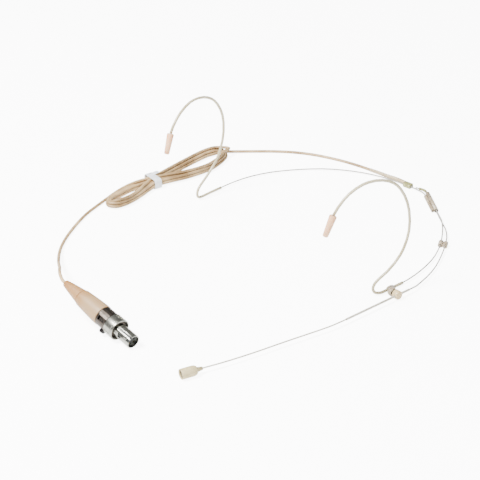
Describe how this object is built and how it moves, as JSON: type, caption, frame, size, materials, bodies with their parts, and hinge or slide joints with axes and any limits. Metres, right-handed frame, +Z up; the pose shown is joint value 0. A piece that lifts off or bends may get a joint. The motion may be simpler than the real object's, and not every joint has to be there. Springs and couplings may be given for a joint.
{
  "type": "headset microphone",
  "caption": "Double ear-hook headset microphone with an adjustable nape slider, a swivelling sliding boom, a hanked cord and a latching four-contact plug.",
  "frame": {"origin": "middle of the headset's footprint on the table it lies on, at table height; the cord, its hank and its plug are left out of that footprint", "axes": "+Z up, -Y the way the wearer faces, +X the wearer's left, where the boom is"},
  "size_m": [0.2026, 0.2353, 0.0655],
  "materials": {
    "wire": "satin light grey lacquer on spring steel",
    "sleeve": "smooth light beige-grey vinyl tube",
    "ear_tip": "soft peach silicone",
    "clip": "moulded grey-beige plastic",
    "clear_sleeve": "yellowed translucent vinyl",
    "relief": "ribbed grey-beige vinyl",
    "knob": "moulded cream plastic",
    "nickel": "bright nickel plate",
    "nickel_dark": "dark nickel plate",
    "black_plastic": "black moulded nylon",
    "boom": "light grey lacquered steel tube",
    "capsule": "satin cream paint",
    "grille": "fine etched steel mesh",
    "capsule_can": "drawn aluminium can",
    "board": "circuit board",
    "lead": "thin grey-beige lead",
    "cord": "smooth tan vinyl",
    "tie": "white vinyl strap",
    "boot_cone": "tan rubber",
    "boot_handle": "pinkish beige rubber",
    "insert": "dark green-black plastic",
    "gold": "gold flash"
  },
  "bodies": {
    "right_frame": {"right_wire": "wire", "right_ear_sleeve": "sleeve", "right_ear_tip": "ear_tip", "nape_clip": "clear_sleeve", "nape_sleeve": "clear_sleeve", "cord_relief": "relief", "boom_cable_rear": "lead", "cord_lead_in": "cord", "cord_hank": "cord", "cord_tie": "tie", "cord_lead_out": "cord", "plug_strain_cone": "boot_cone", "plug_handle": "boot_handle", "plug_body": "nickel_dark", "plug_inner_sleeve": "black_plastic", "plug_ring": "nickel", "plug_nose": "nickel", "plug_insert": "insert", "cable_clamp": "nickel", "socket_contact_1": "gold", "socket_contact_2": "gold", "socket_contact_3": "gold", "socket_contact_4": "gold"},
    "adjuster": {"adjuster_sleeve": "clip"},
    "left_frame": {"left_wire": "wire", "left_ear_sleeve": "sleeve", "left_ear_tip": "ear_tip", "cable_clip": "clip", "boom_clip": "clip", "boom_cable_front": "lead"},
    "boom_holder": {"boom_knob": "knob", "pivot_pin": "nickel", "friction_washer": "black_plastic"},
    "boom": {"boom_tube": "boom", "boom_thin_tube": "boom", "capsule_housing": "capsule", "capsule_grille": "grille", "electret_capsule": "capsule_can", "capsule_board": "board"},
    "latch": {"latch_button": "black_plastic", "latch_lever": "nickel"}
  },
  "joints": [
    {"name": "band_slide", "type": "slide", "parent": "right_frame", "child": "left_frame", "axis": [0.8339, -0.5519, 0], "range_m": [-0.003, 0.01], "deforming": ["boom_cable_rear"]},
    {"name": "adjuster_slide", "type": "slide", "parent": "right_frame", "child": "adjuster", "axis": [0.8339, -0.5519, 0], "range_m": [-0.0015, 0.005]},
    {"name": "boom_swivel", "type": "hinge", "parent": "left_frame", "child": "boom_holder", "pos_m": [0.0796, 0.0142, 0.0026], "axis": [-1, 0, 0], "range_deg": [-20, 60], "deforming": ["boom_cable_front"]},
    {"name": "boom_slide", "type": "slide", "parent": "boom_holder", "child": "boom", "axis": [0, -1, 0], "range_m": [0, 0.005]},
    {"name": "latch_press", "type": "slide", "parent": "right_frame", "child": "latch", "axis": [0.1111, 0.688, 0.7172], "range_m": [0, 0.0007], "stiffness_N_per_m": 600}
  ],
  "couplings": [
    {"joint": "adjuster_slide", "follows": "band_slide", "ratio": 0.5}
  ]
}
